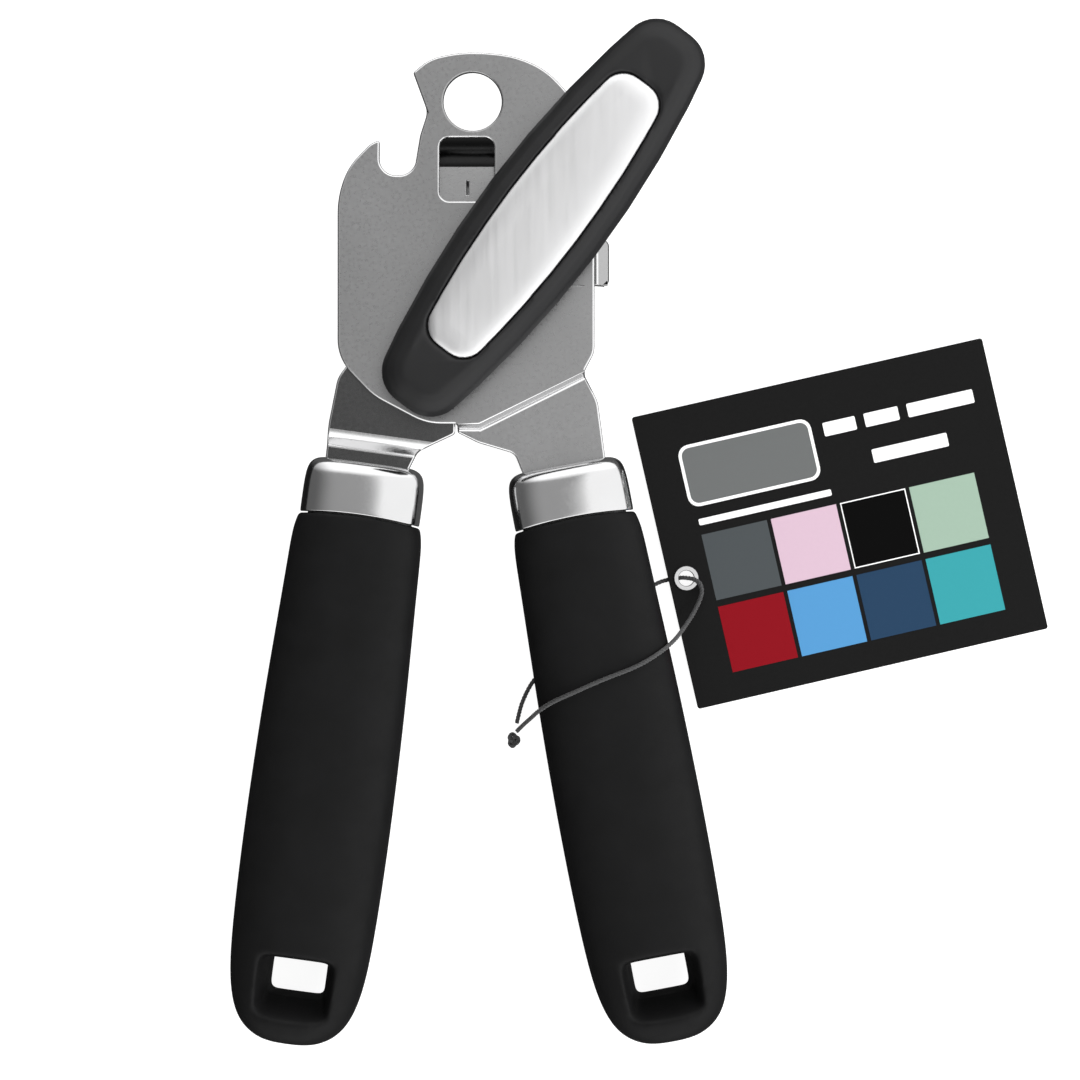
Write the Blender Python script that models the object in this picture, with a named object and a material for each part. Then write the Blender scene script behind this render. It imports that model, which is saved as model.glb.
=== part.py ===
"""Manual can opener: two stamped steel arms on one rivet, a wing knob that drives a serrated
feed wheel, a free cutter wheel, two soft grips and a hang tag on a string.

Lengths below are in millimetres and become metres when a mesh is finished. The opener is drawn
lying on its back with the knob up. The drive shaft's axis stands at x = y = 0 while the pieces
are drawn, +Y runs towards the head and the surface it lies on is z = 0.
"""
from math import acos, atan2, ceil, cos, pi, radians, sin, tan

import bmesh
import bpy
from mathutils import Matrix, Vector

MM = 0.001
TOUCH = 0.3             # gap left between pieces that touch
RUN = 0.3               # radial clearance of a shaft or journal in its hole

# Grips: widest and thickest section, and the shape of the rest as shares of these three sizes
GRIP_LENGTH = 112.9
GRIP_WIDTH = 31.3
GRIP_THICK = 19.2
GRIP_SHAPE = [          # share of the length, of the width and of the thickness
    (0.0, 0.831, 0.771), (0.03, 0.895, 0.792), (0.15, 0.923, 0.802), (0.3, 0.965, 0.813),
    (0.42, 0.987, 0.875), (0.55, 1.0, 0.938), (0.69, 0.997, 0.979), (0.82, 0.971, 1.0),
    (0.89, 0.92, 1.0), (0.938, 0.831, 0.958), (0.969, 0.703, 0.875), (0.989, 0.524, 0.75),
    (1.0, 0.294, 0.563),
]

# Sheet metal and the levels that the two arms lie at
SHEET = 1.6             # thickness of both arms
HANDLE_Z = GRIP_THICK / 2           # mid-plane of the handles, whose grips lie on the surface
REAR_Z = 10.7           # back face of the rear plate's head
FRONT_Z = REAR_Z + SHEET + TOUCH    # back face of the front plate's head
TANG_Z = HANDLE_Z - SHEET / 2       # back face of either arm inside its handle

# Places in the plane of the plates
PIVOT = Vector((-15.7, -22.9))      # rivet that the two arms turn on
LEFT_TOP = Vector((-37.8, -51.1))   # middle of the left ferrule's upper edge
RIGHT_TOP = Vector((4.4, -51.6))    # middle of the right ferrule's upper edge
LEFT_LEAN = radians(-7.76)
RIGHT_LEAN = radians(10.77)
OPENING = radians(16)               # how far the left arm swings open

# Head features
HANG_HOLE = Vector((-15.1, 25.7))
HANG_HOLE_R = 6.2
WINDOW_LOW = Vector((-22.1, 4.5))
WINDOW_HIGH = Vector((-10.5, 18.0))
WINDOW_R = 2.0
FRONT_STEP = Vector((-13.8, -43.1))  # corner of the line where the front plate steps down
FRONT_STEP_END = Vector((8.9, -31.8))
STOP_X = -18.4                      # short edge of the front plate that the left arm closes on
FRONT_RUN = 1.0                     # width of the sloped strip in the front plate
REAR_RUN = 2.6                      # and in the rear plate
REAR_STEP_PLACE = 5.2               # from the left ferrule's upper edge up to the strip
LUG_X = 11.9                        # where the rear plate's side lug starts to step down
LUG_RUN = 2.2
LUG_DROP = 1.4

# Pivot rivet
RIVET_R = 3.4
RIVET_HEAD_R = 5.4
RIVET_HEAD = 1.2
WASHER = 0.8                        # thickness of the plain washers

# Drive
SHAFT_R = 3.5
BUSHING_WALL = 1.4
BUSHING_FLANGE = 1.6                # how far the flange stands out round the sleeve
BUSHING_FLANGE_R = SHAFT_R + RUN + BUSHING_WALL + BUSHING_FLANGE
SLOT_GAP = 0.4                      # between the shaft and the slot in the front plate
SQUARE_R = SHAFT_R * 0.72           # the shaft's thinner end, which carries the knob's core
SHAFT_STEP = 1.4                    # height of its shoulder above the knob's underside
FEED_R = 6.5
FEED_TEETH = 20
FEED_TOOTH = 0.8
FEED_WIDTH = 2.6
FEED_COLLAR_WALL = 0.8
FEED_COLLAR_R = SHAFT_R + TOUCH + FEED_COLLAR_WALL
FEED_COLLAR = 1.4                   # thickness of the collar
KNOB_WASHER_R = 9.0

# Cutter wheel
CUTTER_R = 8.5
CUTTER_WIDTH = 2.6
CUTTER_GAP = 0.4                    # axial gap from the feed wheel to the cutting edge
CUTTER_OVERLAP = 0.8                # how far the cutting edge reaches over the feed wheel's teeth
CUTTER_SIDE = radians(173.5)        # direction from the drive shaft to the stud
CUTTER = Vector((cos(CUTTER_SIDE), sin(CUTTER_SIDE))) * (CUTTER_R + FEED_R - CUTTER_OVERLAP)
STUD_R = 2.7
STUD_HEAD_R = STUD_R + 2.1
SPACER_WALL = 1.2
SPACER_R = STUD_R + RUN + SPACER_WALL
GUIDE_THICK = 1.2
GUIDE_BEND = [(12.0, 0.0), (14.0, -0.5), (16.2, -1.9), (17.9, -3.7), (19.1, -6.0)]
GUIDE_SLIT = ((-16.45, 6.0), (-15.95, 9.0))     # two corners of a slit seen through the window
GUIDE_MARGIN = 2.5                  # sheet left round the stud's hole in the rim guide

# Knob
KNOB_TURN = radians(-37)            # rest position of the wing, from +Y
KNOB_GAP = 1.3                      # from the rivet's front head to the knob's underside
KNOB_Z = FRONT_Z + SHEET + TOUCH + RIVET_HEAD + KNOB_GAP
KNOB_HEIGHT = 10.4
KNOB_HALF_LENGTH = 49.8
KNOB_HALF_WIDTH = 13.6
KNOB_SIDE_R = 215.0
KNOB_CORNER_R = 8.0
KNOB_CROWN = 1.6                    # how much lower the top is at the two ends
INSERT_HALF_LENGTH = 35.3
INSERT_HALF_WIDTH = 8.7
INSERT_CORNER_R = 5.0
INSERT_THICK = 1.2
CORE_HALF_LENGTH = 28.0
CORE_HALF_WIDTH = 5.5
CORE_THICK = 2.4

# Ferrules, flush with the grips, and the rigid cores inside them
FERRULE_LENGTH = 12.3
FERRULE_WALL = 0.8
FERRULE_HALF_WIDTH = GRIP_WIDTH / 2 * GRIP_SHAPE[0][1] - 0.05
FERRULE_HALF_THICK = GRIP_THICK / 2 * GRIP_SHAPE[0][2] - 0.2
CORE_GAP = 0.9                      # between the ferrule's inside and the core's neck
NECK_LENGTH = 8.5
CORE_TIP_WIDTH = 8.6                # half width and half thickness of the core's far end
CORE_TIP_THICK = 4.8
TANG_WIDTH = 12.0
TANG_LENGTH = 70.0
SHOULDER = 3.0                      # how far the arm is wider than its tang at the ferrule's mouth
PIN_R = 1.5
PIN_PLACE = 42.0
HOLE_FROM_BUTT = 14.3               # from a grip's butt to the middle of its hang hole
HOLE_PLACE = FERRULE_LENGTH + TOUCH + GRIP_LENGTH - HOLE_FROM_BUTT
CORE_END = HOLE_PLACE - 13.9        # the core stops short of the hole

# Hang tag and its string
TAG_WIDTH = 78.5
TAG_HEIGHT = 65.0
TAG_THICK = 0.4
TAG_CENTRE = Vector((64.6, -64.1))
TAG_TURN = radians(12.87)
TAG_TILT = radians(1.7)             # the string under the eyelet lifts that side of the card
EYELET = Vector((-35.4, -4.2))      # on the card, from the card's middle
EYELET_R = 1.7
EYELET_WALL = 0.3
EYELET_FLANGE_R = 2.8
CARD_GAP = 0.12
STRING_R = 0.5
KNOT = Vector((-6.3, -110.4, 1.7))
KNOT_R = 1.6
STRING_ROUTE = [
    (-5.7, -109.2, 3.2), (-4.4, -107.7, 6.8), (-2.8, -106.0, 11.0), (-0.8, -104.0, 14.8),
    (2.2, -102.0, 17.2), (6.5, -100.0, 18.3), (12.9, -97.2, 18.4), (19.5, -94.6, 18.0),
    (24.2, -92.0, 16.2), (27.8, -89.4, 12.0), (30.5, -86.4, 7.6), (32.9, -82.8, 4.9),
    (34.3, -79.2, 4.2), (33.6, -76.8, 3.9), (31.2, -76.0, 2.5), (28.6, -76.2, 1.1),
    (24.1, -77.6, 0.8), (16.0, -83.6, 0.8), (7.4, -90.2, 0.8), (0.5, -95.8, 0.8),
    (-2.5, -99.0, 0.8), (-4.6, -103.2, 0.9), (-5.8, -107.6, 1.3),
]

ROUND_STEPS = 32                    # facets of a turned piece
ARC_STEP = radians(10)              # and the angle of each facet round a corner
PLATE_ARC_STEP = radians(5)         # finer for the two arms, whose outlines are seen


# ---------------------------------------------------------------- scene and materials

def clear_scene():
    """Start from nothing: remove every object that is open."""
    for thing in list(bpy.data.objects):
        bpy.data.objects.remove(thing, do_unlink=True)


def finish(name, color, roughness, metallic):
    """A plain Principled material for one piece."""
    material = bpy.data.materials.new(name)
    material.use_nodes = True
    shader = material.node_tree.nodes["Principled BSDF"]
    shader.inputs["Base Color"].default_value = (*color, 1.0)
    shader.inputs["Roughness"].default_value = roughness
    shader.inputs["Metallic"].default_value = metallic
    return material


def steel(name, shade=0.62, roughness=0.3):
    return finish(name, (shade, shade, shade), roughness, 1.0)


def joint_empty(name, place, parent=None):
    """An empty on a joint's axis. Everything that turns on the joint is its child."""
    empty = bpy.data.objects.new(name, None)
    empty.empty_display_size = 10 * MM
    bpy.context.collection.objects.link(empty)
    put_under(empty, place, parent)
    return empty


def put_under(thing, place, parent):
    """Set an object down at a place of the drawing, under a parent that stands elsewhere."""
    thing.location = Vector((place[0], place[1], 0)) * MM
    if parent is not None:
        bpy.context.view_layer.update()
        thing.parent = parent
        thing.matrix_parent_inverse = parent.matrix_world.inverted()


def piece(name, mesh, material, parent, axis=(0.0, 0.0)):
    """Turn a drawn mesh into the named piece, with its origin on the given axis."""
    bmesh.ops.recalc_face_normals(mesh, faces=mesh.faces)
    bmesh.ops.translate(mesh, vec=(-axis[0], -axis[1], 0), verts=mesh.verts)
    bmesh.ops.scale(mesh, vec=(MM, MM, MM), verts=mesh.verts)
    data = bpy.data.meshes.new(name)
    mesh.to_mesh(data)
    mesh.free()
    data.materials.append(material)
    data.shade_smooth()
    data.set_sharp_from_angle(angle=radians(32))
    thing = bpy.data.objects.new(name, data)
    bpy.context.collection.objects.link(thing)
    put_under(thing, axis, parent)
    return thing


def cut(target, mesh, label, axis=(0.0, 0.0)):
    """Subtract a drawn mesh from a piece. The cutter stays in the file as a wire guide."""
    guide = piece("cut_" + label, mesh, target.data.materials[0], target.parent, axis)
    guide.hide_render = True
    guide.display_type = "WIRE"
    boolean = target.modifiers.new(label, "BOOLEAN")
    boolean.operation = "DIFFERENCE"
    boolean.solver = "EXACT"
    boolean.object = guide


# ---------------------------------------------------------------- outlines and solids

def rounded(corners, arc_step=ARC_STEP):
    """Closed outline through corners (x, y, radius), each turned by an arc of its own radius."""
    points = []
    for index, (x, y, radius) in enumerate(corners):
        here = Vector((x, y))
        back = Vector(corners[index - 1][:2]) - here
        ahead = Vector(corners[(index + 1) % len(corners)][:2]) - here
        half = acos(max(-1.0, min(1.0, back.normalized().dot(ahead.normalized())))) / 2
        reach = min(radius / tan(half), 0.49 * back.length, 0.49 * ahead.length)
        if reach < 0.05:
            points.append(here)
            continue
        radius = reach * tan(half)
        middle = here + (back.normalized() + ahead.normalized()).normalized() * radius / sin(half)
        first = here + back.normalized() * reach - middle
        last = here + ahead.normalized() * reach - middle
        sweep = atan2(first.x * last.y - first.y * last.x, first.dot(last))
        steps = max(2, ceil(abs(sweep) / arc_step))
        for step in range(steps + 1):
            angle = sweep * step / steps
            turned = Matrix.Rotation(angle, 2) @ first
            points.append(middle + turned)
    return points


def box_outline(low, high, radius):
    return rounded([(low[0], low[1], radius), (high[0], low[1], radius),
                    (high[0], high[1], radius), (low[0], high[1], radius)])


def extruded(points, low, high):
    """A flat solid: the outline drawn at z = low and extruded up to z = high."""
    mesh = bmesh.new()
    floor = mesh.faces.new([mesh.verts.new((point[0], point[1], low)) for point in points])
    walls = bmesh.ops.extrude_face_region(mesh, geom=[floor])
    lifted = [item for item in walls["geom"] if isinstance(item, bmesh.types.BMVert)]
    bmesh.ops.translate(mesh, vec=(0, 0, high - low), verts=lifted)
    return mesh


def turned(profile, place=(0.0, 0.0), steps=ROUND_STEPS):
    """A turned solid: a closed (radius, z) profile spun about the upright axis at a place."""
    mesh = bmesh.new()
    verts = [mesh.verts.new((radius, 0, z)) for radius, z in profile]
    edges = [mesh.edges.new((verts[i - 1], verts[i])) for i in range(len(verts))]
    bmesh.ops.spin(mesh, geom=verts + edges, cent=(0, 0, 0), axis=(0, 0, 1),
                   angle=2 * pi, steps=steps, use_merge=True)
    bmesh.ops.remove_doubles(mesh, verts=mesh.verts, dist=0.001)
    bmesh.ops.dissolve_degenerate(mesh, edges=mesh.edges, dist=0.001)
    bmesh.ops.translate(mesh, vec=(place[0], place[1], 0), verts=mesh.verts)
    return mesh


def disc(radius, low, high, place=(0.0, 0.0), steps=ROUND_STEPS):
    circle = [(place[0] + radius * cos(2 * pi * i / steps), place[1] + radius * sin(2 * pi * i / steps))
              for i in range(steps)]
    return extruded(circle, low, high)


def lofted(rings):
    """A solid skinned over a row of rings that all have the same number of points."""
    mesh = bmesh.new()
    loops = [[mesh.verts.new(point) for point in ring] for ring in rings]
    count = len(loops[0])
    for lower, upper in zip(loops, loops[1:]):
        for i in range(count):
            j = (i + 1) % count
            mesh.faces.new((lower[i], lower[j], upper[j], upper[i]))
    mesh.faces.new(loops[0])
    mesh.faces.new(loops[-1])
    return mesh


def oval(half_width, half_thick, place, steps=28, squareness=2.6):
    """One cross-section of a handle, across x and z, at a distance down the handle."""
    ring = []
    for i in range(steps):
        angle = 2 * pi * i / steps
        across, up = cos(angle), sin(angle)
        ring.append((half_width * abs(across) ** (2 / squareness) * (1 if across > 0 else -1),
                     -place,
                     half_thick * abs(up) ** (2 / squareness) * (1 if up > 0 else -1)))
    return ring


def handle_frame(top, lean):
    """Matrix from a handle's own frame (x across, -y down the handle) to the drawing."""
    return Matrix.Translation((top.x, top.y, HANDLE_Z)) @ Matrix.Rotation(lean, 4, "Z")


def down_handle(top, lean, across, place):
    """Point of the drawing at a distance across and down a handle."""
    point = handle_frame(top, lean) @ Vector((across, -place, 0))
    return point.x, point.y


# ---------------------------------------------------------------- the two stamped arms

def tang_corners(top, lean):
    """Corners of an arm's tang, from its right shoulder round to its left one."""
    half = TANG_WIDTH / 2
    wide = half + SHOULDER
    path = [(wide, 0.5, 1.0), (half, 3.5, 1.0), (half, TANG_LENGTH, 2.0),
            (-half, TANG_LENGTH, 2.0), (-half, 3.5, 1.0), (-wide, 0.5, 1.0)]
    return [(*down_handle(top, lean, across, place), radius) for across, place, radius in path]


def bend_shift(run, drop):
    """How much earlier a sheet's underside bends than its top, so that a slope keeps its thickness."""
    return SHEET * tan(atan2(drop, run) / 2)


def joggled(mesh, lines, run, drop):
    """Step a sheet down beyond lines: a point, the direction of the low side, the underside's shift."""
    middle = sum(vert.co.z for vert in mesh.verts) / len(mesh.verts)
    planes = [(point + side * shift, side) for point, side, early in lines
              for shift in (0.0, run, -early, run - early)]
    if len(lines) == 2:
        (one, side_one, early_one), (two, side_two, early_two) = lines
        crease = side_one - side_two
        meet = one.dot(side_one) - two.dot(side_two)
        for shift in (0.0, early_one - early_two):
            middle_of_crease = crease.normalized() * (meet - shift) / crease.length
            planes.append((middle_of_crease, crease.normalized()))
    for point, side in planes:
        parts = list(mesh.verts) + list(mesh.edges) + list(mesh.faces)
        bmesh.ops.bisect_plane(mesh, geom=parts, dist=0.0001,
                               plane_co=(*point, 0), plane_no=(*side, 0))
    for vert in mesh.verts:
        under = vert.co.z < middle
        depth = max((vert.co.xy - point).dot(side) + early * under for point, side, early in lines)
        vert.co.z -= drop * max(0.0, min(1.0, depth / run))


def front_step_side():
    """Direction of the low side of the line that the front plate steps down along."""
    along = FRONT_STEP_END - FRONT_STEP
    return Vector((along.y, -along.x)).normalized()


def front_plate(material, parent):
    """Right arm: head with bottle opener, hanging hole and window, joggled down to its tang."""
    head_right = [(-27.8, 31.9, 0.6), (-24.3, 34.8, 10.0), (-18.8, 36.1, 40.0),
                  (-12.6, 36.3, 60.0), (-5.4, 35.3, 40.0), (0.8, 32.4, 24.0), (5.8, 27.0, 20.0),
                  (10.9, 17.5, 20.0), (10.9, -27.8, 5.0), (8.6, -32.0, 2.0), (11.7, -38.0, 8.0)]
    lip = FRONT_STEP.y + 0.1
    head_left = [(-6.2, -49.2, 2.5), (-14.0, -46.9, 6.0), (STOP_X, -44.7, 0.5),
                 (STOP_X, lip, 0.6), (-25.0, lip, 16.0), (-36.3, -37.0, 14.0),
                 (-43.9, -29.0, 10.0), (-43.9, 5.4, 20.0), (-41.6, 11.9, 14.0),
                 (-36.9, 16.7, 5.0), (-34.9, 17.6, 0.5),
                 (-35.0, 10.0, 3.6), (-27.7, 10.0, 3.6), (-26.3, 18.5, 8.0), (-24.7, 23.5, 4.0)]
    outline = head_right + tang_corners(RIGHT_TOP, RIGHT_LEAN) + head_left
    mesh = extruded(rounded(outline, PLATE_ARC_STEP), FRONT_Z, FRONT_Z + SHEET)
    drop = FRONT_Z - TANG_Z
    lines = [(FRONT_STEP, front_step_side(), bend_shift(FRONT_RUN, drop)),
             (FRONT_STEP, Vector((0.0, -1.0)), 0.0)]
    joggled(mesh, lines, FRONT_RUN, drop)
    plate = piece("front_plate", mesh, material, parent)
    through = (FRONT_Z - 1, FRONT_Z + SHEET + 1)
    cut(plate, disc(HANG_HOLE_R, *through, HANG_HOLE, 2 * ROUND_STEPS), "hanging_hole")
    cut(plate, extruded(box_outline(WINDOW_LOW, WINDOW_HIGH, WINDOW_R), *through), "window")
    cut(plate, disc(RIVET_R + RUN, *through, PIVOT), "front_pivot_hole")
    cut(plate, extruded(shaft_slot(), *through), "shaft_slot")
    cut(plate, disc(PIN_R + RUN, TANG_Z - 1, TANG_Z + SHEET + 1,
                    down_handle(RIGHT_TOP, RIGHT_LEAN, 0, PIN_PLACE)), "front_pin_hole")
    return plate


def shaft_slot():
    """Slot about the pivot that the drive shaft crosses as the left arm swings open."""
    half = SHAFT_R + SLOT_GAP
    reach = PIVOT.length
    start = atan2(-PIVOT.y, -PIVOT.x)
    end = start - OPENING
    points = []
    for i in range(9):
        angle = start - OPENING * i / 8
        points.append(PIVOT + Vector((cos(angle), sin(angle))) * (reach + half))
    for i in range(1, 8):
        angle = end - pi * i / 8
        centre = PIVOT + Vector((cos(end), sin(end))) * reach
        points.append(centre + Vector((cos(angle), sin(angle))) * half)
    for i in range(9):
        angle = end + OPENING * i / 8
        points.append(PIVOT + Vector((cos(angle), sin(angle))) * (reach - half))
    for i in range(1, 8):
        angle = start + pi - pi * i / 8
        points.append(Vector((cos(angle), sin(angle))) * half)
    return points


def rear_lower_edge():
    """Corners of the rear plate's lower edge, which the front plate's step never meets.

    The edge keeps inside the step at both ends of the swing, and between them it is an arc
    about the pivot.
    """
    side = front_step_side()
    reach = (FRONT_STEP - PIVOT).dot(side) - bend_shift(FRONT_RUN, FRONT_Z - TANG_Z) - TOUCH
    opened = Matrix.Rotation(OPENING, 2) @ side
    halfway = Matrix.Rotation(OPENING / 2, 2) @ side
    upper = PIVOT + opened * reach + Vector((-opened.y, opened.x)) * 13.0
    turn = PIVOT + halfway * (reach / cos(OPENING / 2))
    lower = PIVOT + side * reach + Vector((side.y, -side.x)) * 5.0
    return [(*upper, 4.0), (*turn, reach), (*lower, 3.0)]


def rear_plate(material, parent):
    """Left arm: passes behind the front plate and carries the drive shaft's bushing."""
    boss = BUSHING_FLANGE_R + 0.2
    stop = STOP_X - TOUCH - 0.1
    head = [(-45.9, -42.5, 10.0), (-44.0, -33.0, 6.0), (-38.0, -25.0, 10.0), (-24.0, -13.5, 8.0),
            (-12.0, -9.5, 4.0), (-boss, -2.0, 4.0), (-boss, boss, boss), (boss, boss, boss),
            (boss + 1.5, -3.4, 0.5), (14.1, -3.4, 1.5), (14.1, -13.4, 1.5), (boss + 1.5, -13.4, 0.5),
            (8.0, -20.0, 8.0), *rear_lower_edge(), (stop, -41.2, 0.8),
            (stop - 0.1, -45.1, 1.0), (-27.0, -48.9, 3.0)]
    outline = head + tang_corners(LEFT_TOP, LEFT_LEAN)
    mesh = extruded(rounded(outline, PLATE_ARC_STEP), REAR_Z, REAR_Z + SHEET)
    side = Matrix.Rotation(LEFT_LEAN, 2) @ Vector((0.0, -1.0))
    drop = REAR_Z - TANG_Z
    joggled(mesh, [(LEFT_TOP - side * REAR_STEP_PLACE, side, bend_shift(REAR_RUN, drop))],
            REAR_RUN, drop)
    joggled(mesh, [(Vector((LUG_X, 0.0)), Vector((1.0, 0.0)), bend_shift(LUG_RUN, LUG_DROP))],
            LUG_RUN, LUG_DROP)
    plate = piece("rear_plate", mesh, material, parent, PIVOT)
    through = (REAR_Z - 1, REAR_Z + SHEET + 1)
    cut(plate, disc(RIVET_R + RUN, *through, PIVOT), "rear_pivot_hole")
    cut(plate, disc(SHAFT_R + RUN + BUSHING_WALL + TOUCH, *through), "bushing_hole")
    cut(plate, disc(PIN_R + RUN, TANG_Z - 1, TANG_Z + SHEET + 1,
                    down_handle(LEFT_TOP, LEFT_LEAN, 0, PIN_PLACE)), "rear_pin_hole")
    return plate


# ---------------------------------------------------------------- pivot

def pivot_pieces(right, colour):
    """Rivet headed at both ends, and the plain washer under its back head."""
    top = FRONT_Z + SHEET + TOUCH
    bottom = REAR_Z - TOUCH - WASHER - TOUCH
    low, high = bottom - RIVET_HEAD, top + RIVET_HEAD
    profile = [(0, low), (RIVET_HEAD_R - 0.8, low), (RIVET_HEAD_R, low + 0.6),
               (RIVET_HEAD_R, bottom), (RIVET_R, bottom), (RIVET_R, top), (RIVET_HEAD_R, top),
               (RIVET_HEAD_R, high - 0.6), (RIVET_HEAD_R - 0.8, high), (0, high)]
    piece("pivot_rivet", turned(profile, PIVOT), colour("pivot_rivet"), right, PIVOT)
    inner = RIVET_R + RUN
    ring = [(inner, REAR_Z - TOUCH - WASHER), (RIVET_HEAD_R + 1.4, REAR_Z - TOUCH - WASHER),
            (RIVET_HEAD_R + 1.4, REAR_Z - TOUCH), (inner, REAR_Z - TOUCH)]
    piece("pivot_washer", turned(ring, PIVOT), colour("pivot_washer"), right, PIVOT)


# ---------------------------------------------------------------- cutter

def feed_levels():
    """Low and high face of the feed wheel, behind the bushing's flange."""
    high = REAR_Z - TOUCH - WASHER - TOUCH
    return high - FEED_WIDTH, high


def bent_underside(path, thick):
    """The underside of a bent sheet: each point square below one (forward, up) of its top side."""
    under = []
    for i, (forward, up) in enumerate(path):
        ahead = Vector(path[min(i + 1, len(path) - 1)]) - Vector(path[i - 1] if i else path[0])
        ahead = ahead.normalized() if i else Vector((1.0, 0.0))
        under.append((forward + ahead.y * thick, up - ahead.x * thick))
    return under


def rim_guide(material, parent):
    """Bracket behind the window: flat under the stud, then bent back to guide the can's rim."""
    high = FRONT_Z - TOUCH
    low = high - GUIDE_THICK
    left, right = WINDOW_LOW.x - 1.3, WINDOW_HIGH.x + 1.3
    bend = GUIDE_BEND[0][0]
    around = STUD_R + GUIDE_MARGIN
    body = rounded([(CUTTER.x - around, CUTTER.y - around, around - 0.4),
                    (CUTTER.x + around, CUTTER.y - around, around - 0.4),
                    (CUTTER.x + around, 5.5, 2.0), (right, 7.6, 1.0), (right, bend, 0.0),
                    (left, bend, 0.0), (left, 5.0, 2.0), (CUTTER.x - around, 3.0, 2.0)])
    mesh = extruded(body, low, high)
    wall = [face for face in mesh.faces if abs(face.calc_center_median().y - bend) < 0.01]
    for upper, under in list(zip(GUIDE_BEND, bent_underside(GUIDE_BEND, GUIDE_THICK)))[1:]:
        step = bmesh.ops.extrude_face_region(mesh, geom=wall)
        bmesh.ops.delete(mesh, geom=wall, context="FACES_ONLY")
        wall = [item for item in step["geom"] if isinstance(item, bmesh.types.BMFace)]
        moved = [item for item in step["geom"] if isinstance(item, bmesh.types.BMVert)]
        middle = sum(vert.co.z for vert in moved) / len(moved)
        for vert in moved:
            y, drop = upper if vert.co.z > middle else under
            vert.co = (vert.co.x, y, high + drop)
    guide = piece("rim_guide", mesh, material, parent)
    cut(guide, disc(STUD_R + RUN, low - 1, high + 1, CUTTER), "guide_hole")
    cut(guide, extruded(box_outline(*GUIDE_SLIT, 0.0), low - 1, high + 1), "guide_slit")
    return guide


def cutter_pieces(right, spin, colour):
    """Stud welded to the back of the front plate, its spacer, and the wheel that turns on it."""
    edge = feed_levels()[0] - CUTTER_GAP
    low = edge - CUTTER_WIDTH
    head = low - TOUCH
    top = FRONT_Z - TOUCH
    stud = [(0, 0), (STUD_HEAD_R - 2.2, 0), (STUD_HEAD_R - 0.8, 0.7), (STUD_HEAD_R, 1.9),
            (STUD_HEAD_R, head), (STUD_R, head), (STUD_R, top), (0, top)]
    piece("cutter_stud", turned(stud, CUTTER), colour("cutter_stud"), right, CUTTER)
    bore = STUD_R + RUN
    under_guide = top - GUIDE_THICK - TOUCH
    ring = [(bore, edge + TOUCH), (SPACER_R, edge + TOUCH), (SPACER_R, under_guide),
            (bore, under_guide)]
    piece("cutter_spacer", turned(ring, CUTTER), colour("cutter_spacer"), right, CUTTER)
    wheel = [(bore, low), (STUD_HEAD_R, low), (CUTTER_R - 1.2, edge - 1.0),
             (CUTTER_R, edge - 0.1), (CUTTER_R, edge), (bore, edge)]
    piece("cutter_wheel", turned(wheel, CUTTER, 40), colour("cutter_wheel"), spin, CUTTER)


# ---------------------------------------------------------------- drive

def drive_pieces(left, spin, colour):
    """Bushing in the rear plate, and the shaft with its feed wheel, collar and knob washer."""
    feed_low, feed_high = feed_levels()
    bore = SHAFT_R + RUN
    sleeve = bore + BUSHING_WALL
    flange_low = REAR_Z - TOUCH - WASHER
    ring = [(bore, flange_low), (BUSHING_FLANGE_R, flange_low), (BUSHING_FLANGE_R, REAR_Z - TOUCH),
            (sleeve, REAR_Z - TOUCH), (sleeve, REAR_Z + SHEET), (bore, REAR_Z + SHEET)]
    piece("drive_bushing", turned(ring), colour("drive_bushing"), left)
    core_top = knob_levels()[1] + CORE_THICK
    collar_low = feed_low - TOUCH - FEED_COLLAR
    shaft = turned([(0, collar_low - 0.6), (SHAFT_R - 0.5, collar_low - 0.6),
                    (SHAFT_R, collar_low - 0.1), (SHAFT_R, KNOB_Z + SHAFT_STEP),
                    (SQUARE_R, KNOB_Z + SHAFT_STEP), (SQUARE_R, core_top + 0.8),
                    (0, core_top + 0.8)])
    piece("drive_shaft", shaft, colour("drive_shaft"), spin)
    feed_wheel(colour("feed_wheel"), spin, feed_low, feed_high)
    collar = [(SHAFT_R + TOUCH, collar_low), (FEED_COLLAR_R, collar_low),
              (FEED_COLLAR_R, feed_low - TOUCH), (SHAFT_R + TOUCH, feed_low - TOUCH)]
    piece("feed_collar", turned(collar), colour("feed_collar"), spin)
    low = FRONT_Z + SHEET + TOUCH
    washer = [(bore, low), (KNOB_WASHER_R, low), (KNOB_WASHER_R, low + WASHER), (bore, low + WASHER)]
    piece("knob_washer", turned(washer), colour("knob_washer"), spin)


def feed_wheel(material, spin, low, high):
    """Serrated wheel that grips the underside of the can's rim, bored for the shaft."""
    teeth = []
    for i in range(FEED_TEETH):
        for share, radius in ((0.0, FEED_R), (0.25, FEED_R), (0.62, FEED_R - FEED_TOOTH)):
            angle = 2 * pi * (i + share) / FEED_TEETH
            teeth.append((radius * cos(angle), radius * sin(angle)))
    wheel = piece("feed_wheel", extruded(teeth, low, high), material, spin)
    cut(wheel, disc(SHAFT_R + TOUCH, low - 1, high + 1), "feed_bore")


# ---------------------------------------------------------------- knob

def knob_levels():
    """Heights in the knob: its top, the floor of the core's pocket, the underside of the insert."""
    top = KNOB_Z + KNOB_HEIGHT
    return top, top - INSERT_THICK - 1.2 - CORE_THICK, top - INSERT_THICK


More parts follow.
